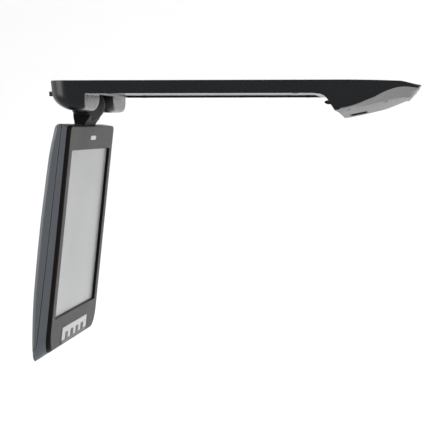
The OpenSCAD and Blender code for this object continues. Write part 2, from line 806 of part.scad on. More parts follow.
module screen_back() {
  color([0.36, 0.37, 0.39])
    hang()
      difference() {
        union() {
          difference() {
            panel_slice(0) polygon(concat(seam_line(), rev(back_line(0))));
            panel_slice(wall)
              polygon(concat([[u0 + wall, 2], [u_free - 14.9, 2]],
                [[u_free - 14.9, -panel_back - 0.45 * belly + 1.9]],
                [for (i = [10:-1:1]) [u0 + BACK[i][0] * panel_len, -panel_back - BACK[i][1] * belly + 1.9]],
                [[u0 + wall, -panel_back + 1.6]]));
          }
          // posts of the driver board
          for (u = [win_uc - 42, win_uc + 42]) {
            for (y = [-52, 52]) post(u, y, -panel_back - belly + 2, -4.6, 3);
          }
          // bosses of the case screws
          both_sides() post(u0 + 14, hw - 9, -panel_back + 0.4, -1.3, 3.2);
          both_sides() post(u_free - 20, hw - 9, -panel_back - 1, -3.7, 3.2);
        }
        both_sides() post(u0 + 14, hw - 9, -30, 1, 1.5);
        both_sides() post(u_free - 20, hw - 9, -30, 1, 1.5);
        both_sides() post(u0 + 14, hw - 9, -30, -panel_back + 1.4, 3);
        both_sides() post(u_free - 20, hw - 9, -30, -panel_back - 0.4, 3);
      }
}

module screen_screws() {
  color([0.25, 0.25, 0.26])
    hang()
      both_sides() {
        post(u0 + 14, hw - 9, -panel_back + 1.4, -1, 1.45);
        post(u0 + 14, hw - 9, -panel_back, -panel_back + 1.4, 2.6);
        post(u_free - 20, hw - 9, -panel_back - 0.4, -1, 1.45);
        post(u_free - 20, hw - 9, -panel_back - 1.8, -panel_back - 0.4, 2.6);
      }
}

module lcd_module() {
  color([0.5, 0.51, 0.52])
    hang()
      difference() {
        box(win_u0 - 6, win_u1 + 6, -win_w / 2 - 5, win_w / 2 + 5, -1.6, lcd_v);
        box(win_u0 + 10, win_u1 - 10, -60, 60, -3, -0.8);
      }
}

module display_glass() {
  color([0.72, 0.73, 0.73])
    hang()
      box(win_u0 - 3, win_u1 + 3, -win_w / 2 - 3, win_w / 2 + 3, lcd_v, glass_v);
}

module driver_board() {
  color([0.1, 0.32, 0.18])
    hang() {
      difference() {
        box(win_uc - 48, win_uc + 48, -58, 58, -4.6, -3);
        for (u = [win_uc - 42, win_uc + 42]) {
          for (y = [-52, 52]) post(u, y, -6, -2, 1.1);
        }
      }
      box(win_uc - 20, win_uc, -14, 10, -6.2, -4.55);
      box(win_uc + 10, win_uc + 22, 20, 36, -6, -4.55);
      box(win_uc - 44, win_uc - 38, -20, 20, -7.4, -4.55);
    }
}

plate_v = panel_front + 0.4;
key_u = u_free - 7.6;
plate_u0 = u_free - 17;

module key_openings(extra) {
  for (k = [-1.5:1:1.5]) {
    box(key_u - key_h / 2 - key_gap - extra, key_u + key_h / 2 + key_gap + extra,
      k * key_pitch - key_w / 2 - key_gap - extra, k * key_pitch + key_w / 2 + key_gap + extra, 0,
        panel_front + 3);
  }
}

module key_plate() {
  color([0.8, 0.8, 0.81])
    hang()
      difference() {
        translate([0, 0, panel_front])
          linear_extrude(plate_v - panel_front)
            rrect(plate_u0, u_free - 0.9, -2.36 * key_pitch, 2.36 * key_pitch, 1.5);
        key_openings(0);
        post(key_u - 4, 2.08 * key_pitch, 0, panel_front + 3, 1.5);
      }
}

module status_lens() {
  color([0.5, 0.8, 0.55])
    hang() {
      post(key_u - 4, 2.08 * key_pitch, glass_v - 0.6, plate_v, 1.4);
      post(key_u - 4, 2.08 * key_pitch, glass_v - 0.6, glass_v, 2.4);
    }
}

module keypad_board() {
  color([0.1, 0.32, 0.18])
    hang() {
      box(plate_u0 + 1, u_free - 1.6, -2.4 * key_pitch, 2.4 * key_pitch, 2, 3.4);
      for (k = [-1.5:1:1.5]) post(key_u, k * key_pitch, 3.3, 3.9, 2.5);
    }
}

module key_cap(n) {
  color([0.12, 0.12, 0.125])
    hang()
      translate([key_u, (n - 2.5) * key_pitch, 0]) {
        translate([0, 0, glass_v - 0.4])
          linear_extrude(plate_v + 0.3 - glass_v + 0.4)
            rrect(-key_h / 2, key_h / 2, -key_w / 2, key_w / 2, 1.2);
        box(-key_h / 2 - 0.6, key_h / 2 + 0.6, -key_w / 2 - 1, key_w / 2 + 1, glass_v - 0.6, glass_v - 0.1);
      }
}

module badge() {
  color([0.8, 0.8, 0.81])
    hang()
      translate([0, 0, panel_front])
        linear_extrude(0.3)
          rrect(u0 + 10, u0 + 14, -14, 14, 0.8);
}

module strike_plate() {
  color([0.7, 0.7, 0.72])
    hang()
      box(u_free - 3.3, u_free - 2.1, -12, 12, -3, 1.6);
}

module key_1() { key_cap(1); }
module key_2() { key_cap(2); }
module key_3() { key_cap(3); }
module key_4() { key_cap(4); }

mount_plate();
arm_housing();
hinge_brackets();
bracket_screws();
hinge_pins();
friction_washers();
hinge_nuts();
head_cover();
camera_window();
lens_barrel();
sensor_board();
lamp_bezels();
lamp_lenses();
lamp_boards();
main_board();
heat_spreader();
power_inlet();
switch_body();
switch_knob();
catch_housing();
catch_plunger();
buffer_pads();
plate_screws();
cover_screws();
knuckle_shell();
knuckle_core();
core_screws();
screen_back();
screen_frame();
front_bezel();
lcd_module();
display_glass();
driver_board();
key_plate();
keypad_board();
status_lens();
badge();
strike_plate();
screen_screws();
key_1();
key_2();
key_3();
key_4();
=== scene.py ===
import json
import math

import bpy
import bmesh
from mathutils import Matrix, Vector
from mathutils.geometry import tessellate_polygon


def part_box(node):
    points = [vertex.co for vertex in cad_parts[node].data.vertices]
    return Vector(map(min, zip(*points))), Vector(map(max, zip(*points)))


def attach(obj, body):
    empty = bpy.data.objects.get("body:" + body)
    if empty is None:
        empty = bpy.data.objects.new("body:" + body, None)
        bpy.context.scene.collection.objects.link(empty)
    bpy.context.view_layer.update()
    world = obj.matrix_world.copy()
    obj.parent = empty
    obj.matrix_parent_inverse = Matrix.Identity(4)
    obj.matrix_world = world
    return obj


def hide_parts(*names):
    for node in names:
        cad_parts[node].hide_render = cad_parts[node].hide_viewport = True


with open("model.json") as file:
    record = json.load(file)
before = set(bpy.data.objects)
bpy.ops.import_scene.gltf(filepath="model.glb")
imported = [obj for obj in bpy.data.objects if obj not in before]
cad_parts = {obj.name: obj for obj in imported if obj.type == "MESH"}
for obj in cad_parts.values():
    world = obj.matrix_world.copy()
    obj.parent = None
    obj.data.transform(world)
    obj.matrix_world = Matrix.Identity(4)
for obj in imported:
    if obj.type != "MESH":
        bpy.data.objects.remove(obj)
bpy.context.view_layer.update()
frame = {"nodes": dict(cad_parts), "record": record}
NODES = frame["nodes"]
MM = 0.001

# ---------------------------------------------------------------- sizes, in mm
HALF_W = 124.0                           # half the width of arm and screen
WALL = 2.4                               # of the arm's shell
AXIS_X, AXIS_Z = -157.0, -21.5           # hinge axis
HANG = math.radians(96.0)                # the screen's rest angle, from folded flat
FRONT_V, BACK_V, BELLY = 8.2, 7.6, 5.1   # depths of the front and back, and how far the back bulges
RIM_V, GLASS_V = 3.9, 5.4                # where the bezel begins, and the display glass
HINGE_U, FREE_U = 19.6, 232.4            # screen hinge edge and free edge, from the axis
SLOPE = 0.773                            # lean of the free edge
WIN_U0, WIN_U1, WIN_HALF = 43.0, 203.0, 108.0   # opening of the bezel
R_FREE, R_TOP = 20.0, 5.0                # corners at the free edge and at the hinge edge
CATCH_HALF, CATCH_DEPTH = 10.6, 4.0      # pocket in the free edge that takes the catch
R_FREE_BACK = 12.0                       # the lower corners are sharper at the back
LENGTH = FREE_U - HINGE_U
ARM_T, TRAY = 12.2, 2.2                  # arm's thickness, recess in its underside
END_X, END_R, TIP_R = -174.0, 20.0, 7.0  # end wall, its corners and the tip's
FOLD_X = AXIS_X + FREE_U                 # free edge of the folded screen, where the head's slope begins
HEAD_X = FOLD_X + 16.2                   # where the silver cover begins
TIP_X = HEAD_X + 79.0
BULGE_X = AXIS_X + HINGE_U - 1.2         # inner wall of the hinge bulges
BULGE_Z = AXIS_Z - 5.9                   # lowest level of the bulges
NOTCH = 40.0                             # half the gap between the bulges
KNUCKLE_R, KNUCKLE_L = 16.5, 76.0
KNUCKLE_GAP, POCKET_ROOF = 0.6, -4.2     # room round the knuckle in the arm
PLATE_LO, PLATE_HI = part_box("mount_plate")
PLATE_X0, PLATE_X1 = PLATE_LO.x / MM - 0.3, PLATE_HI.x / MM + 0.3
PLATE_SEAT = -0.8                        # the shell lies this far under the steel plate's face

# fullness of the back, as parts of the length and of the bulge
BACK = [(0, 0), (0.03, 0.14), (0.118, 0.57), (0.2, 0.73), (0.29, 0.84), (0.42, 0.98), (0.5, 1),
        (0.57, 1), (0.73, 0.94), (0.82, 0.8), (0.89, 0.61), (0.95, 0.39), (1.01, 0.06), (1.035, 0.02)]
# line between the frame and the back shell, as (u, v)
SEAM = [(HINGE_U + part * LENGTH, v) for part, v in (
    (0, -1.0), (0.9, -3.6), (0.965, -4.2), (1.0, -5.3), (1.022, -6.7), (1.035, -7.9))]
CREASE = HALF_W - 9.0
# head underside: station from HEAD_X, then the depths of its side edge, crease and middle line
HEAD = [(0, 27.6, 27.6, 27.6), (3.4, 27.5, 28, 31.6), (6, 27, 28.2, 34.4), (12, 25.8, 26.7, 33.5),
        (18, 24.1, 25.3, 32.4), (24, 21.9, 24.4, 31.1), (30, 19.4, 23.4, 29.6), (36, 17, 21.9, 28.2),
        (42, 13.8, 20.3, 26.8), (48, 11.1, 18.8, 25), (54, 9.1, 17.4, 22.7), (60, 7.9, 16.4, 20.2),
        (66, 7.8, 16.2, 17.6), (69, 8.1, 16.5, 16.7), (72, 8.5, 13.1, 13.2), (75.6, 8.9, 9.05, 9.1),
        (76.4, 8.6, 8.6, 8.6)]
LAMP_X, LAMP_Y, LAMP_L, LAMP_W = HEAD_X + 20.5, 45.0, 17.0, 34.0
CAM_X, CAM_R = HEAD_X + 32.0, 12.3
COVER_SCREWS = [(HEAD_X + 46, HALF_W - 17, -16.5), (HEAD_X + 12, HALF_W - 17, -24.0)]   # x, y and seat


def lerp(a, b, t):
    return a + (b - a) * t


def table(points, x):
    """Straight-line reading of a table of (x, y)."""
    if x <= points[0][0]:
        return points[0][1]
    for (xa, ya), (xb, yb) in zip(points, points[1:]):
        if x <= xb:
            return lerp(ya, yb, (x - xa) / (xb - xa))
    return points[-1][1]


def smooth_line(points, n):
    """A curve through the points, n samples between each two."""
    out = []
    p = [points[0]] + list(points) + [points[-1]]
    for i in range(1, len(p) - 2):
        a, b, c, d = p[i - 1], p[i], p[i + 1], p[i + 2]
        for k in range(n):
            t = k / n
            out.append(tuple(
                0.5 * (2 * b[j] + (c[j] - a[j]) * t + (2 * a[j] - 5 * b[j] + 4 * c[j] - d[j]) * t * t
                       + (3 * b[j] - a[j] - 3 * c[j] + d[j]) * t ** 3) for j in range(len(b))))
    out.append(tuple(points[-1]))
    return out


BACK_FINE = [(HINGE_U + a * LENGTH, -BACK_V - b * BELLY) for a, b in smooth_line(BACK, 6)]
SEAM_FINE = smooth_line(SEAM, 8)


def back_v(u):
    return table(BACK_FINE, u)


def seam_v(u):
    return table(SEAM_FINE, u)


def hung(u, y, v):
    """From the screen folded flat (u along, v out of its face) to the hanging position, in metres."""
    c, s = math.cos(HANG), math.sin(HANG)
    return Vector(((AXIS_X + u * c + v * s) * MM, y * MM, (AXIS_Z - u * s + v * c) * MM))


# ---------------------------------------------------------------- materials

FINE_SPECKLE = 3200.0           # noise scale of the speckle in painted parts
BUMP_DEPTH = 0.00008            # metres, height of the fine grain
DARK_BORDER = (0.02, 0.02, 0.022, 1)
DARK_STRIP = (0.014, 0.014, 0.015, 1)
PICTURE_HALF_W, PICTURE_HALF_H = 106.4, 78.8   # lit area of the display with a thin margin


def shader_node(nt, kind, values=None):
    """A new shader node with its inputs set."""
    node = nt.nodes.new(kind)
    for name, value in (values or {}).items():
        node.inputs[name].default_value = value
    return node


def noise(nt, vector, scale, detail):
    node = shader_node(nt, "ShaderNodeTexNoise", {"Scale": scale, "Detail": detail})
    nt.links.new(vector, node.inputs["Vector"])
    return node.outputs["Fac"]


def map_range(nt, value, from_min, from_max, to_min=0.0, to_max=1.0, curve="LINEAR"):
    node = shader_node(nt, "ShaderNodeMapRange", {
        "From Min": from_min, "From Max": from_max, "To Min": to_min, "To Max": to_max})
    node.interpolation_type = curve
    nt.links.new(value, node.inputs["Value"])
    return node.outputs[0]


def calculate(nt, operation, first, second=None):
    """A math node; the second term is a number, another node's output, or left out."""
    node = nt.nodes.new("ShaderNodeMath")
    node.operation = operation
    nt.links.new(first, node.inputs[0])
    if isinstance(second, float):
        node.inputs[1].default_value = second
    elif second is not None:
        nt.links.new(second, node.inputs[1])
    return node.outputs[0]


def axis_of(nt, axis, space="Object"):
    """One coordinate of the shaded point."""
    coordinates = next((n for n in nt.nodes if n.type == "TEX_COORD"), None)
    if coordinates is None:
        coordinates = nt.nodes.new("ShaderNodeTexCoord")
    split = nt.nodes.new("ShaderNodeSeparateXYZ")
    nt.links.new(coordinates.outputs[space], split.inputs[0])
    return split.outputs[axis]


def base_colour(m):
    """The base colour's input and the output that feeds it."""
    shader = next(n for n in m.node_tree.nodes if n.type == "BSDF_PRINCIPLED")
    entry = shader.inputs["Base Color"]
    return entry, entry.links[0].from_socket


def lay_over(m, mask, colour):
    """Lays a flat colour over the base colour where the mask is 1."""
    nt = m.node_tree
    entry, tone = base_colour(m)
    mix = nt.nodes.new("ShaderNodeMix")
    mix.data_type = "RGBA"
    under, over = [i for i in mix.inputs if i.type == "RGBA"]
    nt.links.new(mask, mix.inputs[0])
    nt.links.new(tone, under)
    over.default_value = colour
    nt.links.new(next(o for o in mix.outputs if o.type == "RGBA"), entry)


MATS = {}


def material(name, tone_a, tone_b, rough=(0.3, 0.4), metal=0.0, tone_scale=30.0, rough_scale=60.0,
             grain=0.0, grain_scale=2500.0, stretch=(1, 1, 1), coat=0.0, coat_rough=0.1, spec=0.5,
             mottle=0.0):
    """A moulded, painted or metal surface: two tones that drift, uneven gloss, and fine grain as bump.

    It is kept in MATS under its name.
    """
    m = bpy.data.materials.new(name)
    m.use_nodes = True
    nt = m.node_tree
    nt.nodes.clear()
    out = nt.nodes.new("ShaderNodeOutputMaterial")
    shader = shader_node(nt, "ShaderNodeBsdfPrincipled", {
        "Metallic": metal, "Coat Weight": coat, "Coat Roughness": coat_rough,
        "Specular IOR Level": spec, "IOR": 1.5})
    nt.links.new(shader.outputs[0], out.inputs[0])
    coordinates = nt.nodes.new("ShaderNodeTexCoord")
    mapping = shader_node(nt, "ShaderNodeMapping", {"Scale": stretch})
    nt.links.new(coordinates.outputs["Object"], mapping.inputs["Vector"])
    ramp = nt.nodes.new("ShaderNodeValToRGB")
    for element, position, tone in zip(ramp.color_ramp.elements, (0.3, 0.7), (tone_a, tone_b)):
        element.position = position
        element.color = (*tone, 1)
    nt.links.new(noise(nt, mapping.outputs[0], tone_scale, 3.0), ramp.inputs[0])
    colour = ramp.outputs[0]
    if mottle:
        speckle = noise(nt, coordinates.outputs["Object"], FINE_SPECKLE, 1.0)
        scaled = nt.nodes.new("ShaderNodeVectorMath")
        scaled.operation = "SCALE"
        nt.links.new(colour, scaled.inputs[0])
        nt.links.new(map_range(nt, speckle, 0.35, 0.65, 1.0 - mottle, 1.0 + mottle), scaled.inputs["Scale"])
        colour = scaled.outputs[0]
    nt.links.new(colour, shader.inputs["Base Color"])
    uneven = noise(nt, mapping.outputs[0], rough_scale, 4.0)
    nt.links.new(map_range(nt, uneven, 0.3, 0.7, *rough), shader.inputs["Roughness"])
    if grain:
        bump = shader_node(nt, "ShaderNodeBump", {"Strength": grain, "Distance": BUMP_DEPTH})
        nt.links.new(noise(nt, mapping.outputs[0], grain_scale, 2.0), bump.inputs["Height"])
        nt.links.new(bump.outputs[0], shader.inputs["Normal"])
    MATS[name] = m
    return m


def display_material():
    """Anti-glare film over the picture area, with the panel's dark border."""
    m = material("display_film", (0.30, 0.305, 0.31), (0.34, 0.345, 0.35), rough=(0.2, 0.26),
                 tone_scale=6.0, rough_scale=20.0, grain=0.12, grain_scale=5000.0, spec=0.4)
    nt = m.node_tree
    middle = hung((WIN_U0 + WIN_U1) / 2, 0, GLASS_V)
    across = calculate(nt, "ABSOLUTE", axis_of(nt, "Y"))
    along = calculate(nt, "ABSOLUTE", calculate(nt, "SUBTRACT", axis_of(nt, "Z"), middle.z))
    sides = calculate(nt, "GREATER_THAN", across, PICTURE_HALF_W * MM)
    ends = calculate(nt, "GREATER_THAN", along, PICTURE_HALF_H * MM)
    lay_over(m, calculate(nt, "MAXIMUM", sides, ends), DARK_BORDER)
    return m


def plate_material():
    """Bright plate with a black strip along its lower edge, below the keys."""
    m = material("bright_plate", (0.50, 0.50, 0.51), (0.58, 0.58, 0.59), rough=(0.32, 0.4), metal=0.5,
                 tone_scale=60.0, grain=0.3, stretch=(1, 18, 1), grain_scale=500.0)
    strip_u, blend, plate_v = 227.6, 0.3, 8.6
    nt = m.node_tree
    z0, z1 = hung(strip_u, 0, plate_v).z, hung(strip_u + blend, 0, plate_v).z
    lay_over(m, map_range(nt, axis_of(nt, "Z"), z0, z1), DARK_STRIP)
    return m


def board_material():
    """Green solder mask with copper runs under it."""
    m = material("board_mask", (0.01, 0.09, 0.035), (0.015, 0.13, 0.05), rough=(0.25, 0.4),
                 tone_scale=120.0)
    nt = m.node_tree
    entry, tone = base_colour(m)
    runs = shader_node(nt, "ShaderNodeTexBrick", {
        "Scale": 160.0, "Mortar Size": 0.05,
        "Color2": (0.012, 0.1, 0.04, 1), "Mortar": (0.03, 0.2, 0.08, 1)})
    coordinates = next(n for n in nt.nodes if n.type == "TEX_COORD")
    nt.links.new(coordinates.outputs["Object"], runs.inputs["Vector"])
    nt.links.new(tone, runs.inputs["Color1"])
    nt.links.new(runs.outputs["Color"], entry)
    return m


material("gloss_black", (0.008, 0.009, 0.011), (0.012, 0.013, 0.015), rough=(0.25, 0.30),
         tone_scale=14.0, rough_scale=45.0, grain=0.015, grain_scale=1800.0, spec=0.4)
material("knuckle_satin", (0.006, 0.006, 0.007), (0.010, 0.010, 0.011), rough=(0.5, 0.6),
         tone_scale=40.0, grain=0.3, grain_scale=2600.0, spec=0.1)
material("bezel_black", (0.0105, 0.0088, 0.0074), (0.0135, 0.0115, 0.0098), rough=(0.38, 0.41),
         tone_scale=9.0, rough_scale=12.0, grain=0.2, grain_scale=2600.0, spec=0.08)
material("case_grey", (0.125, 0.136, 0.150), (0.134, 0.145, 0.160), rough=(0.34, 0.44), metal=0.25,
         tone_scale=18.0, rough_scale=60.0, grain=0.25, grain_scale=2400.0, mottle=0.08)
material("satin_silver", (0.30, 0.30, 0.302), (0.34, 0.34, 0.342), rough=(0.48, 0.54), metal=0.1,
         tone_scale=16.0, rough_scale=50.0, grain=0.2, grain_scale=2400.0, mottle=0.12, spec=0.2)
material("plate_steel", (0.42, 0.43, 0.44), (0.55, 0.55, 0.56), rough=(0.3, 0.5), metal=0.9,
         tone_scale=60.0, rough_scale=90.0, grain=0.3, grain_scale=900.0, mottle=0.05)
material("bracket_steel", (0.4, 0.4, 0.41), (0.5, 0.5, 0.51), rough=(0.25, 0.4), metal=0.95,
         tone_scale=80.0, grain=0.3, stretch=(1, 12, 1), grain_scale=700.0)
material("bright_steel", (0.55, 0.55, 0.56), (0.65, 0.65, 0.66), rough=(0.12, 0.22), metal=1.0,
         tone_scale=90.0, grain=0.2, stretch=(1, 1, 14), grain_scale=800.0)
material("washer_brass", (0.5, 0.36, 0.14), (0.6, 0.45, 0.2), rough=(0.25, 0.4), metal=1.0,
         tone_scale=150.0, grain=0.2)
material("fastener", (0.06, 0.06, 0.065), (0.1, 0.1, 0.105), rough=(0.28, 0.42), metal=0.85,
         tone_scale=200.0, grain=0.3, grain_scale=2000.0)
material("window_glass", (0.012, 0.013, 0.02), (0.02, 0.02, 0.032), rough=(0.03, 0.06),
         tone_scale=40.0, spec=0.8, coat=0.5, coat_rough=0.03)
material("lens_black", (0.008, 0.008, 0.009), (0.014, 0.014, 0.015), rough=(0.45, 0.6),
         tone_scale=60.0, grain=0.4, grain_scale=1800.0)
material("lamp_diffuser", (0.72, 0.72, 0.68), (0.8, 0.8, 0.76), rough=(0.4, 0.55), tone_scale=90.0,
         grain=0.5, grain_scale=1500.0)
material("lamp_board", (0.7, 0.7, 0.68), (0.76, 0.76, 0.74), rough=(0.35, 0.5), tone_scale=80.0)
material("heat_alloy", (0.6, 0.61, 0.63), (0.7, 0.71, 0.73), rough=(0.3, 0.42), metal=1.0,
         tone_scale=60.0, grain=0.4, stretch=(1, 16, 1), grain_scale=500.0)
material("socket_black", (0.012, 0.012, 0.013), (0.02, 0.02, 0.021), rough=(0.4, 0.5),
         tone_scale=80.0, grain=0.35)
material("knob_black", (0.025, 0.026, 0.028), (0.035, 0.036, 0.038), rough=(0.38, 0.5),
         tone_scale=120.0, grain=0.5, grain_scale=2000.0)
material("catch_nylon", (0.02, 0.02, 0.021), (0.03, 0.03, 0.032), rough=(0.35, 0.5),
         tone_scale=90.0, grain=0.3)
material("rubber_pad", (0.012, 0.012, 0.012), (0.02, 0.02, 0.02), rough=(0.7, 0.85),
         tone_scale=140.0, grain=0.6, grain_scale=1400.0)
material("lcd_can", (0.4, 0.41, 0.42), (0.5, 0.5, 0.51), rough=(0.3, 0.45), metal=0.9,
         tone_scale=70.0, grain=0.3, stretch=(14, 1, 1), grain_scale=600.0)
material("bright_alloy", (0.60, 0.60, 0.61), (0.68, 0.68, 0.69), rough=(0.28, 0.36), metal=0.6,
         tone_scale=60.0, grain=0.3, stretch=(1, 18, 1), grain_scale=500.0)
material("status_green", (0.12, 0.3, 0.16), (0.16, 0.38, 0.2), rough=(0.15, 0.25), tone_scale=200.0,
         spec=0.6)
material("key_black", (0.03, 0.031, 0.034), (0.042, 0.043, 0.046), rough=(0.36, 0.48),
         tone_scale=110.0, grain=0.4, grain_scale=2200.0)
MATS["circuit_board"] = board_material()
MATS["display_face"] = display_material()
MATS["key_plate"] = plate_material()

SLOT_OF = {s["node"]: s["material_slot"] for s in frame["record"]["subparts"]}


# ---------------------------------------------------------------- mesh helpers

def even_normals(ob):
    """Large flat faces set the shading, so they stay flat beside rounded edges."""
    wn = ob.modifiers.new("normals", "WEIGHTED_NORMAL")
    wn.mode = "FACE_AREA"
    wn.weight = 100
    wn.keep_sharp = True


def link_object(name, data):
    ob = bpy.data.objects.new(name, data)
    bpy.context.scene.collection.objects.link(ob)
    return ob


def mesh_object(name, bm):
    """Turns bm into an object of the scene and frees it."""
    me = bpy.data.meshes.new(name)
    bm.to_mesh(me)
    bm.free()
    return link_object(name, me)


def shade(ob, smooth):
    """Smooth shading, broken where faces meet at more than the angle."""
    for p in ob.data.polygons:
        p.use_smooth = True
    ob.data.set_sharp_from_angle(angle=math.radians(smooth))
    even_normals(ob)


def finish_mesh(name, bm, body, slot, node, smooth, mat=None):
    """Turns bm into a piece that rides on body and stands in for a CAD node."""
    bmesh.ops.remove_doubles(bm, verts=bm.verts, dist=1e-6)
    bmesh.ops.recalc_face_normals(bm, faces=bm.faces)
    ob = mesh_object(name, bm)
    ob.data.materials.append(MATS[mat or slot])
    shade(ob, smooth)
    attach(ob, body)
    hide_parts(node)
    return ob


def ring(u0, u1, h, rt, rf):
    """Rounded rectangle in (u, y): rt at the hinge edge, rf at the free edge."""
    side, end, corner = 44, 16, 10     # steps along a side, the hinge edge and a corner
    rt, rf = max(rt, 0.05), max(rf, 0.05)
    pts = []

    def edge(a, b, n):
        for k in range(n):
            pts.append((lerp(a[0], b[0], k / n), lerp(a[1], b[1], k / n)))

    def arc(cu, cy, r, a0, n):
        for k in range(n):
            a = math.radians(a0 + 90.0 * k / n)
            pts.append((cu + r * math.cos(a), cy + r * math.sin(a)))

    edge((u0 + rt, -h), (u1 - rf, -h), side)
    arc(u1 - rf, -h + rf, rf, -90, corner)
    # the free edge has closer points in the middle, for the catch's pocket
    reach, mid = h - rf, min(CATCH_HALF, 0.2 * (h - rf))
    pts += [(u1, y * reach) for y in (-1, -0.8, -0.6, -0.4, -0.27)]
    pts += [(u1, y * mid) for y in (-1, -0.97, -0.5, 0, 0.5, 0.97, 1)]
    pts += [(u1, y * reach) for y in (0.27, 0.4, 0.6, 0.8)]
    arc(u1 - rf, h - rf, rf, 0, corner)
    edge((u1 - rf, h), (u0 + rt, h), side)
    arc(u0 + rt, h - rt, rt, 90, corner)
    edge((u0, h - rt), (u0, -h + rt), end)
    arc(u0 + rt, -h + rt, rt, 180, corner)
    return pts


def inset_ring(inset, u1, u0=HINGE_U, rt=R_TOP, rf=R_FREE):
    return ring(u0 + inset, u1 - inset, HALF_W - inset, rt - inset, rf - inset)


def top_lean(v):
    """The hinge edge of the case leans back a little."""
    return 0.09 * (v - 3.0)


def pocketed(points):
    """Moves the middle of the free edge inwards."""
    def in_pocket(u, y):
        return abs(y) < 0.98 * CATCH_HALF and u > FREE_U - 5
    return [(u - CATCH_DEPTH if in_pocket(u, y) else u, y) for u, y in points]


def skin(bm, rings, closed=True):
    """Faces between rings of points; returns the rings as vertices."""
    made = [[bm.verts.new(p) for p in r] for r in rings]
    n = len(made[0])
    for a, b in zip(made, made[1:]):
        for k in range(n if closed else n - 1):
            bm.faces.new((a[k], a[(k + 1) % n], b[(k + 1) % n], b[k]))
    return made


def free_u(v):
    return FREE_U + (FRONT_V - v) * SLOPE


# ---------------------------------------------------------------- screen case

def build_bezel():
    """Black front of the screen, from the frame's rim round to the display."""
    bm = bmesh.new()
    rings = []
    pocket_top = RIM_V + 0.8
    edge_r = 1.5

    def add(inset, v, u1):
        points = inset_ring(inset, u1, HINGE_U + top_lean(v))
        if v < pocket_top:
            points = pocketed(points)
        rings.append([hung(u, y, v) for u, y in points])

    add(2.4, RIM_V + 0.25, free_u(RIM_V))
    add(0.55, RIM_V + 0.12, free_u(RIM_V))
    add(0.12, RIM_V + 0.3, free_u(RIM_V + 0.3))
    add(0.0, RIM_V + 0.6, free_u(RIM_V + 0.6))
    for v in (pocket_top - 0.02, pocket_top + 0.02, RIM_V + 1.4, FRONT_V - 2.0):
        add(0.0, v, free_u(v))
    for k in range(1, 7):
        a = math.radians(15 * k)
        v = FRONT_V - edge_r * (1 - math.sin(a))
        add(edge_r * (1 - math.cos(a)), v, free_u(v))
    # the lining of the opening runs down to just above the display
    for d, v in ((0.45, FRONT_V), (0.12, FRONT_V - 0.12), (0.0, FRONT_V - 0.45), (-0.05, GLASS_V + 0.02)):
        window = ring(WIN_U0 - d, WIN_U1 + d, WIN_HALF + d, 1.2, 1.2)
        rings.append([hung(u, y, v) for u, y in window])
    skin(bm, rings)
    return finish_mesh("bezel_shell", bm, "screen", "bezel_black", "front_bezel", smooth=35)


def build_frame():
    """Grey side wall between the bezel and the back shell."""
    bm = bmesh.new()
    lip_v = -6.4                # lowest level of the frame at the free edge
    u_low = free_u(lip_v)
    pocket_end = 0.36           # part of the frame's depth that the catch's pocket takes
    rings = []

    def low_v(u):
        return max(seam_v(u), lip_v) if u > HINGE_U + 0.9 * LENGTH else seam_v(u)

    def near_free(u):
        """0 up to 95 percent of the length, then rising to 1 at the end."""
        return min(1.0, max(0.0, (u - (HINGE_U + 0.95 * LENGTH)) / (0.05 * LENGTH)))

    def line(t, inset, dv):
        r = []
        a = inset_ring(inset, free_u(RIM_V), HINGE_U + top_lean(RIM_V))
        b = inset_ring(inset, u_low, HINGE_U + top_lean(-1.0), rf=R_FREE_BACK)
        if t < pocket_end:
            a, b = pocketed(a), pocketed(b)
        for (ua, ya), (ub, yb) in zip(a, b):
            v = lerp(RIM_V, low_v(ub), t) + dv
            r.append(hung(lerp(ua, ub, t), lerp(ya, yb, t), v))
        rings.append(r)

    line(0.0, 2.4, 0.0)
    line(0.0, 0.4, 0.0)
    line(0.0, 0.1, -0.14)
    line(0.0, 0.0, -0.4)
    line(pocket_end - 0.005, 0.0, 0.0)
    line(pocket_end + 0.005, 0.0, 0.0)
    line(0.7, 0.0, 0.0)
    line(1.0, 0.0, 0.35)
    line(1.0, 0.15, 0.1)
    line(1.0, 0.5, 0.0)
    # round the back of the free edge and run under the back shell
    for inset, drop in ((0.9, 0.55), (1.7, 1.05), (2.6, 1.4)):
        r = []
        for u, y in inset_ring(inset, u_low, HINGE_U + top_lean(-1.0), rf=R_FREE_BACK):
            w = near_free(u)
            r.append(hung(u, y, low_v(u) - drop * w - (1 - w) * 0.1))
        rings.append(r)
    lap, lap_v = 3.4, -7.75
    inner = ring(HINGE_U + lap, HINGE_U + LENGTH, HALF_W - lap, R_TOP - lap, R_FREE_BACK - lap)
    rings.append([hung(u, y, lerp(seam_v(u) + 0.4, lap_v, near_free(u))) for u, y in inner])
    skin(bm, rings)
    return finish_mesh("frame_shell", bm, "screen", "case_grey", "screen_frame", smooth=50)


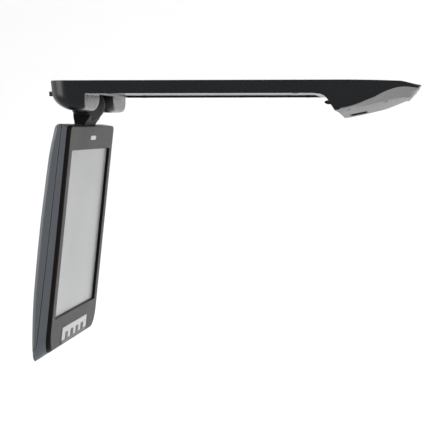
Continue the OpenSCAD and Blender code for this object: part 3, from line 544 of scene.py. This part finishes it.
def build_back():
    """Grey bulging back of the screen."""
    bm = bmesh.new()
    u1 = HINGE_U + 1.034 * LENGTH
    seam_u0 = HINGE_U + top_lean(-1.0)
    lip = inset_ring(2.6, u1, seam_u0, rf=R_FREE_BACK)
    rings = [[hung(u, y, seam_v(u) - 0.5) for u, y in lip]]
    for inset, dv in ((1.0, -0.5), (0.45, -0.55), (0.12, -0.75), (0.0, -1.1)):
        r = []
        for u, y in inset_ring(inset, u1, seam_u0, rf=R_FREE_BACK):
            h = seam_v(u) - back_v(u)
            r.append(hung(u, y, seam_v(u) + max(dv, -0.3 * h)))
        rings.append(r)
    # the edge is rounded, less where the back is thin
    for k in range(9):
        a = math.radians(90 * k / 8)
        r = []
        level_u0 = HINGE_U + top_lean(-2.0 - 4.0 * k / 8)
        base = inset_ring(0.0, u1, level_u0, rf=R_FREE_BACK)
        for i, (u, y) in enumerate(base):
            h = seam_v(u) - back_v(u)
            rad = max(0.05, min(4.2, 0.66 * h))
            ins = rad * (1 - math.cos(a))
            ui, yi = inset_ring(ins, u1, level_u0, rf=R_FREE_BACK)[i]
            r.append(hung(ui, yi, back_v(ui) + rad * (1 - math.sin(a))))
        rings.append(r)
    for inset in (8, 13, 20, 29, 40, 54, 70, 88, 104):
        flat = inset_ring(inset, u1, rt=max(R_TOP, inset + 1.0), rf=max(R_FREE_BACK, inset + 1.5))
        rings.append([hung(u, y, back_v(u)) for u, y in flat])
    made = skin(bm, rings)
    bm.faces.new(made[-1])
    return finish_mesh("back_shell", bm, "screen", "case_grey", "screen_back", smooth=50)


def build_knuckle():
    """Crowned barrel of the hinge, and the neck that joins it to the screen."""
    bm = bmesh.new()
    half = KNUCKLE_L / 2
    end_r, round_r, bore = 10.6, 1.8, 3.7
    steps = 72

    def crown(y):
        e = abs(y) / half
        return KNUCKLE_R - 0.1 - (KNUCKLE_R - end_r) * (math.sqrt(e * e + 0.03) - 0.173) / 0.84

    prof = [(bore, half - 3.0), (bore, half - 0.5), (bore + 0.5, half - 0.3)]
    for k in range(7):
        a = math.radians(15 * k)
        prof.append((crown(half) - round_r + round_r * math.sin(a), half - round_r * (1 - math.cos(a))))
    inner = half - round_r
    for k in range(1, 28):
        y = inner - 2 * inner * k / 28
        prof.append((crown(y), y))
    for r, y in reversed(prof[:10]):
        prof.append((r, -y))
    turns = [2 * math.pi * k / steps for k in range(steps)]
    skin(bm, [[hung(r * math.cos(a), y, r * math.sin(a)) for a in turns] for r, y in prof])
    # neck to the top edge of the screen
    w, edge = 32.0, 1.2
    front = smooth_line([(7.0, 8.6), (12.0, 7.6), (15.5, 5.6), (17.6, 4.4), (HINGE_U + 0.3, 3.9)], 5)
    back = smooth_line([(HINGE_U + 0.3, -6.2), (17.6, -6.6), (15.0, -7.4), (12.0, -8.2), (7.0, -8.7)], 5)
    loop = front + back
    neck = []
    for y in (-w, -w + 0.4, -w + edge, w - edge, w - 0.4, w):
        e = max(0.0, abs(y) - (w - edge)) / edge
        k = 0.9 * (1 - math.sqrt(max(0.0, 1 - e * e)))
        neck.append([hung(u, y, v - k * (1 if v > 0 else -1)) for u, v in loop])
    made = skin(bm, neck)
    bm.faces.new(list(reversed(made[0])))
    bm.faces.new(made[-1])
    return finish_mesh("knuckle_barrel", bm, "screen", "gloss_black", "knuckle_shell", smooth=40,
                       mat="knuckle_satin")


# ---------------------------------------------------------------- arm and head

HEAD_FINE = HEAD[:2] + smooth_line(HEAD[2:13], 5) + HEAD[13:]


def head_side(x):
    """Black edge above the silver cover."""
    return -table([(HEAD_X + r[0], r[1]) for r in HEAD_FINE], x) + 1.2


BULGE_DEPTH = BULGE_Z - 1.0 + ARM_T       # negative: below the arm's underside


def bulge_low(y):
    """Lowest point of a hinge bulge at distance y from the middle."""
    y = abs(y)
    full_y, rise_y, side = 66, 84, HALF_W - 9.0
    if y < NOTCH:
        return 0.0
    if y < full_y:
        k = math.sqrt(max(0.0, 1 - ((full_y - y) / (full_y - NOTCH)) ** 2.2))
        return BULGE_DEPTH * max(k, 0.06)
    if y > side:
        e = min(1.0, (y - side) / (HALF_W - side))
        return lerp(-7.6, BULGE_DEPTH + 0.5, math.sqrt(max(0.0, 1 - e * e)))
    return BULGE_DEPTH + 0.5 * max(0.0, (y - rise_y) / (side - rise_y))


# outlines in (x, z): hinge bulge and end wall, top of the head, wall between the arm and the cover
BULGE = smooth_line([
    (BULGE_X, -ARM_T - 0.75), (BULGE_X, -16.5), (BULGE_X, BULGE_Z + 4.2), (BULGE_X - 0.5, BULGE_Z + 1.6),
    (BULGE_X - 2.6, BULGE_Z - 0.3), (END_X + 28, BULGE_Z - 1.0), (END_X + 21.5, BULGE_Z - 0.8),
    (END_X + 15, BULGE_Z + 0.7), (END_X + 9.5, BULGE_Z + 3.6), (END_X + 5, -19.9), (END_X + 2.2, -15.4),
    (END_X + 1.2, -10.5), (END_X + 0.6, -5.5), (END_X + 0.1, -0.8)], 5)
TOP = smooth_line([(TIP_X - 66, 0.0), (TIP_X - 43, -0.4), (TIP_X - 22, -1.1), (TIP_X - 17, -1.6),
                   (TIP_X - 6, -3.9), (TIP_X, -5.2)], 4)
SLANT = smooth_line([(HEAD_X, -27.6), (FOLD_X + 13.0, -22.8), (FOLD_X + 10.3, -18.5),
                     (FOLD_X + 7.2, -15.0), (FOLD_X + 3.2, -13.1), (FOLD_X - 4, -ARM_T)], 5)


def ceiling(x):
    """Inner side of the head's roof."""
    return table([(FOLD_X + 22.4, -2.4), (HEAD_X + 36, -2.7), (HEAD_X + 58, -3.4), (HEAD_X + 71, -6.2)], x)


def plan_round(a, r):
    """How far a corner of radius r steps back at distance a from the middle."""
    d = min(r, max(0.0, a - (HALF_W - r)))
    return r - math.sqrt(r * r - d * d)


def arm_loop(y):
    """Outline of the arm at distance y from the middle, as (x, z), starting at the top of the end wall."""
    a = abs(y)
    inside = a < HALF_W - WALL
    tray = a < HALF_W - 5.0
    top = PLATE_SEAT if inside else 0.0
    pts = [(END_X + 0.5, 0.0), (PLATE_X0, 0.0), (PLATE_X0 + 0.15, top)]
    pts += [(x, top) for x in (-120.0, -60.0, 0.0, 60.0, PLATE_X1 - 0.15)]
    pts += [(PLATE_X1, 0.0)] + list(TOP)
    pts.append((TIP_X - 0.9, -6.0))
    pts.append((TIP_X - 2.3, -7.4))
    for r in reversed(HEAD_FINE[2:]):
        x = HEAD_X + r[0]
        if inside and r[0] < 71:
            pts.append((x, ceiling(x)))
        else:
            pts.append((x, head_side(x)))
    if inside:
        pts += [(HEAD_X + 3.4, ceiling(HEAD_X)), (HEAD_X + 3.4, -27.6)]
    else:
        pts += [(HEAD_X + 3.5, -27.5 + 1.2), (HEAD_X + 3.2, -27.6)]
    pts += SLANT
    tray_z = -ARM_T + (TRAY if tray else 0.0)
    pts += [(FOLD_X - 6.0, -ARM_T), (FOLD_X - 6.3, tray_z)]
    pts += [(x, tray_z) for x in (40.0, -30.0, -100.0, BULGE_X + 3.8)]
    pts += [(BULGE_X + 3.5, -ARM_T), (BULGE_X + 0.75, -ARM_T)]
    low = bulge_low(a)
    for x, z in BULGE:
        if z < -ARM_T:
            z = -ARM_T + (z + ARM_T) * (low / BULGE_DEPTH)
            if a < NOTCH:
                d2 = (KNUCKLE_R + KNUCKLE_GAP) ** 2 - (x - AXIS_X) ** 2
                z = max(-ARM_T, AXIS_Z + math.sqrt(d2)) if d2 > 0 else -ARM_T
                z = min(z, POCKET_ROOF)
        pts.append((x, z))
    # the end wall's corners and the tip's are rounded in plan
    dx, cut = plan_round(a, END_R), plan_round(a, TIP_R)
    out = []
    for x, z in pts:
        x += dx * min(1.0, max(0.0, (BULGE_X - 3.0 - x) / (BULGE_X - 3.0 - END_X)))
        x -= cut * min(1.0, max(0.0, (x - (TIP_X - 2 * TIP_R)) / (2 * TIP_R)))
        out.append((x, z))
    return out


def mirrored(ys):
    """The distances, which begin at 0, on both sides of the middle."""
    return [-y for y in reversed(ys[1:])] + ys


def offset_loop(pts, d):
    """Moves a closed outline inwards by d."""
    n = len(pts)
    area = sum(pts[i][0] * pts[(i + 1) % n][1] - pts[(i + 1) % n][0] * pts[i][1] for i in range(n))
    s = 1.0 if area > 0 else -1.0
    out = []
    for i in range(n):
        ax, az = pts[i - 1]
        bx, bz = pts[(i + 1) % n]
        tx, tz = bx - ax, bz - az
        length = math.hypot(tx, tz) or 1.0
        out.append((pts[i][0] - s * tz / length * d, pts[i][1] + s * tx / length * d))
    return out


def build_arm():
    """Black shell of the arm, its hinge bulges and the sides of the head."""
    bm = bmesh.new()
    # cross-sections, closer together where the outline changes
    stations = mirrored([
        0.0, 20.0, 39.7, 40.0, 40.3, 41.0, 42.5, 44.5, 47.0, 50.0, 54.0, 58.0, 62.0, 66.0, 72.0, 78.0,
        84.0, 92.0, 100.0, 104.0, 107.0, 110.0, 112.5, 115.0, 117.0, 118.9, 119.1, 120.2, 121.55, 121.65,
        122.4, 123.0, 123.5])
    rings = [[Vector((x * MM, y * MM, z * MM)) for x, z in arm_loop(y)] for y in stations]
    ends = []
    edge = 0.5
    for e in (0.35, 0.7, 0.9, 1.0):
        y = HALF_W - edge + edge * e
        d = edge * (1.0 - math.sqrt(1 - e * e))
        ends.append((y, offset_loop(arm_loop(min(y, HALF_W - 0.001)), d)))
    rings += [[Vector((x * MM, y * MM, z * MM)) for x, z in pts] for y, pts in ends]
    rings = [[Vector((x * MM, -y * MM, z * MM)) for x, z in pts] for y, pts in reversed(ends)] + rings
    made = skin(bm, rings)
    for loop in (made[0], made[-1]):
        flat = [Vector((v.co.x, v.co.z, 0.0)) for v in loop]
        for tri in tessellate_polygon([flat]):
            bm.faces.new([loop[i] for i in tri])
    return finish_mesh("arm_shell", bm, "base", "gloss_black", "arm_housing", smooth=32)


def cover_z(row, y):
    """Height of the head's underside in one row: crowned in the middle, folded up at the crease."""
    a = abs(y)
    if a > CREASE:
        return -lerp(row[1], row[2], (HALF_W - a) / (HALF_W - CREASE))
    t = a / CREASE
    return -(row[2] + (row[3] - row[2]) * (1 - t * t))


def cutter(verts, faces):
    """A closed solid that a piece is cut with, from points in mm."""
    bm = bmesh.new()
    vs = [bm.verts.new(Vector(v) * MM) for v in verts]
    for f in faces:
        bm.faces.new([vs[i] for i in f])
    bmesh.ops.recalc_face_normals(bm, faces=bm.faces)
    return mesh_object("cutter", bm)


def prism(outline, z0, z1):
    """An upright cutting tool with the given outline."""
    n = len(outline)
    verts = [(x, y, z0) for x, y in outline] + [(x, y, z1) for x, y in outline]
    faces = [tuple(range(n)), tuple(range(2 * n - 1, n - 1, -1))]
    faces += [(i, (i + 1) % n, n + (i + 1) % n, n + i) for i in range(n)]
    return cutter(verts, faces)


def round_box(cx, cy, lx, ly, r, n=6):
    pts = []
    for sx, sy, a0 in ((1, -1, -90), (1, 1, 0), (-1, 1, 90), (-1, -1, 180)):
        for k in range(n + 1):
            a = math.radians(a0 + 90 * k / n)
            pts.append((cx + sx * (lx / 2 - r) + r * math.cos(a), cy + sy * (ly / 2 - r) + r * math.sin(a)))
    return pts


def circle(cx, cy, r, n=48):
    turns = [2 * math.pi * k / n for k in range(n)]
    return [(cx + r * math.cos(a), cy + r * math.sin(a)) for a in turns]


def build_cover():
    """Silver underside of the head, with its openings cut."""
    bm = bmesh.new()
    ys = mirrored([
        0, 10, 20, 30, 40, 50, 58, 66, 74, 82, 90, 97, 103, 108, 112, 114.4, CREASE, 116.0, 118.0, 120.0,
        HALF_W - WALL - 0.2, HALF_W - WALL + 0.2, 122.8, 123.5, HALF_W - 0.02])
    loops = []
    for r in HEAD_FINE:
        x = HEAD_X + r[0]
        lo, hi = [], []
        for y in ys:
            z = cover_z(r, y)
            a = abs(y)
            if a > 123.0:
                z += 0.35 * ((a - 123.0) / 1.0) ** 2
            side = -r[1] + 1.15
            if a > HALF_W - WALL or r[0] < 3.6:
                top = side if r[0] > 3.6 else -27.6
            else:
                top = min(z + 2.2, side if r[0] > 69 else 0.0)
            if r[0] < 0.1:
                z = -28.2
            lo.append(Vector((x * MM, y * MM, min(z, top - 0.2) * MM)))
            hi.append(Vector((x * MM, y * MM, top * MM)))
        loops.append(lo + list(reversed(hi)))
    made = skin(bm, loops)
    bm.faces.new(list(reversed(made[0])))
    bm.faces.new(made[-1])
    bmesh.ops.triangulate(bm, faces=[f for f in bm.faces if len(f.verts) > 4])
    ob = finish_mesh("cover_skin", bm, "base", "satin_silver", "head_cover", smooth=30)
    through = -60
    cuts = [prism(circle(CAM_X, 0, CAM_R), through, 0)]
    for s in (-1, 1):
        cuts.append(prism(round_box(LAMP_X, s * LAMP_Y, LAMP_L, LAMP_W, 2.0), through, 0))
        for x, y, seat in COVER_SCREWS:
            cuts.append(prism(circle(x, s * y, 2.8, 32), through, seat))
    for tool in cuts:
        m = ob.modifiers.new("cut", "BOOLEAN")
        m.operation = "DIFFERENCE"
        m.solver = "EXACT"
        m.object = tool
        bpy.context.view_layer.update()
        dg = bpy.context.evaluated_depsgraph_get()
        done = bpy.data.meshes.new_from_object(ob.evaluated_get(dg))
        ob.modifiers.clear()
        ob.data = done
        bpy.data.objects.remove(tool)
    shade(ob, 30)


def surface_z(x, y):
    """Height of the head's underside."""
    st = x - HEAD_X
    for a, b in zip(HEAD_FINE, HEAD_FINE[1:]):
        if a[0] <= st <= b[0]:
            return lerp(cover_z(a, y), cover_z(b, y), (st - a[0]) / (b[0] - a[0]))
    return cover_z(HEAD_FINE[-1], y)


def build_lamp_frames():
    """Black frames that line the two lamp openings."""
    bm = bmesh.new()
    frame_top = -19.7
    for s in (-1, 1):
        outer = round_box(LAMP_X, s * LAMP_Y, LAMP_L - 0.3, LAMP_W - 0.3, 1.9)
        mid = round_box(LAMP_X, s * LAMP_Y, LAMP_L - 0.9, LAMP_W - 0.9, 1.6)
        inner = round_box(LAMP_X, s * LAMP_Y, LAMP_L - 2.6, LAMP_W - 2.6, 1.0)
        rings = []
        for outline, depth in ((outer, None), (outer, 0.45), (mid, 0.2), (inner, 0.5), (inner, None)):
            rings.append([Vector((x, y, frame_top if depth is None else surface_z(x, y) + depth)) * MM
                          for x, y in outline])
        rings.append(rings[0])
        skin(bm, rings)
    return finish_mesh("lamp_frames", bm, "base", SLOT_OF["lamp_bezels"], "lamp_bezels", smooth=35)


# ---------------------------------------------------------------- build

for node, ob in NODES.items():
    ob.data.materials.clear()
    ob.data.materials.append(MATS.get(node, MATS[SLOT_OF[node]]))

build_bezel()
build_frame()
build_back()
build_knuckle()
build_arm()
build_cover()
build_lamp_frames()

# CAD nodes that only need their edges broken, and by how much
BEVELLED = {
    "key_plate": 0.12, "badge": 0.12, "switch_knob": 0.5, "catch_plunger": 0.4, "lamp_lenses": 0.3,
    "camera_window": 0.25, "lens_barrel": 0.3, "mount_plate": 0.25, "status_lens": 0.2,
    "buffer_pads": 0.25, "power_inlet": 0.2, "knuckle_core": 0.3, "hinge_pins": 0.3,
    "display_glass": 0.1, "screen_screws": 0.2, "cover_screws": 0.2, "plate_screws": 0.15,
}
BEVELLED.update({f"key_{k}": 0.5 for k in range(1, 5)})
for node, width in BEVELLED.items():
    ob = NODES[node]
    weld = ob.modifiers.new("weld", "WELD")
    weld.merge_threshold = 1e-6
    bv = ob.modifiers.new("edges", "BEVEL")
    bv.width = width * MM
    bv.segments = 3
    bv.limit_method = "ANGLE"
    bv.angle_limit = math.radians(35)
    bv.harden_normals = True

# ---------------------------------------------------------------- stage, light, camera


def fade_along_y(m, y0, y1):
    """The first tone before y0, the second past y1."""
    nt = m.node_tree
    ramp = next(n for n in nt.nodes if n.type == "VALTORGB")
    nt.links.new(map_range(nt, axis_of(nt, "Y"), y0, y1), ramp.inputs[0])


def build_stage():
    """A paper floor that curves up into a back wall, in metres."""
    bm = bmesh.new()
    floor_z, near_y, far_y, bend = -0.95, -6.0, 4.0, 3.0
    steps = 24
    rows = []
    for k in range(steps + 1):
        t = k / steps
        if t < 0.5:
            y, z = lerp(near_y, far_y, t * 2), floor_z
        else:
            a = (t - 0.5) * math.pi
            y, z = far_y + bend * math.sin(a), floor_z + bend * (1 - math.cos(a))
        rows.append([Vector((x, y, z)) for x in (-9.0, -3.0, 3.0, 9.0)])
    skin(bm, rows, closed=False)
    ob = mesh_object("floor", bm)
    for p in ob.data.polygons:
        p.use_smooth = True
    # painted shade: the floor is darker in front of and under the part and pale behind it, so it throws
    # less light up onto the undersides
    paper = material("floor_paper", (0.5, 0.5, 0.5), (0.95, 0.95, 0.95), rough=(0.8, 0.9), rough_scale=4.0)
    fade_along_y(paper, 0.6, 2.6)
    ob.data.materials.append(paper)


def aim(ob, place, direction):
    """Puts a light or camera in place, looking along the direction."""
    ob.location = place
    ob.rotation_mode = "QUATERNION"
    ob.rotation_quaternion = direction.to_track_quat("-Z", "Y")


def area(name, place, target, size, power):
    light = bpy.data.lights.new(name, "AREA")
    light.shape = "RECTANGLE"
    light.size, light.size_y = size
    light.energy = power
    aim(link_object(name, light), place, Vector(target) - Vector(place))


def build_world():
    """White surroundings, brighter behind the part than in front of it."""
    world = bpy.data.worlds.new("studio")
    bpy.context.scene.world = world
    world.use_nodes = True
    nt = world.node_tree
    background = nt.nodes["Background"]
    background.inputs["Color"].default_value = (1, 1, 1, 1)
    brightness = map_range(nt, axis_of(nt, "Y", "Generated"), -0.9, 0.6, 0.4, 1.08, "SMOOTHSTEP")
    nt.links.new(brightness, background.inputs["Strength"])


CAMERA_PLACE = (0.1510, -1.7587, -0.0442)
YAW, PITCH = math.radians(5.89), math.radians(2.78)
SENSOR, LENS = 36.0, 149.86


def build_camera():
    look = Vector((-math.sin(YAW) * math.cos(PITCH), math.cos(YAW) * math.cos(PITCH), -math.sin(PITCH)))
    data = bpy.data.cameras.new("camera")
    data.sensor_width = SENSOR
    data.lens = LENS
    data.clip_start, data.clip_end = 0.05, 60.0
    camera = link_object("camera", data)
    aim(camera, CAMERA_PLACE, look)
    bpy.context.scene.camera = camera
    bpy.context.scene.view_settings.view_transform = "Standard"


build_stage()
build_world()
area("back_wash", (0.0, 1.4, 2.6), (0, 5.2, 0.0), (7.0, 2.0), 170)
area("left_soft", (-1.5, -0.7, 0.15), (-0.1, 0, -0.1), (0.9, 0.9), 9)
area("right_soft", (1.6, -0.9, -0.1), (0.0, 0, -0.08), (0.8, 0.8), 12)
build_camera()
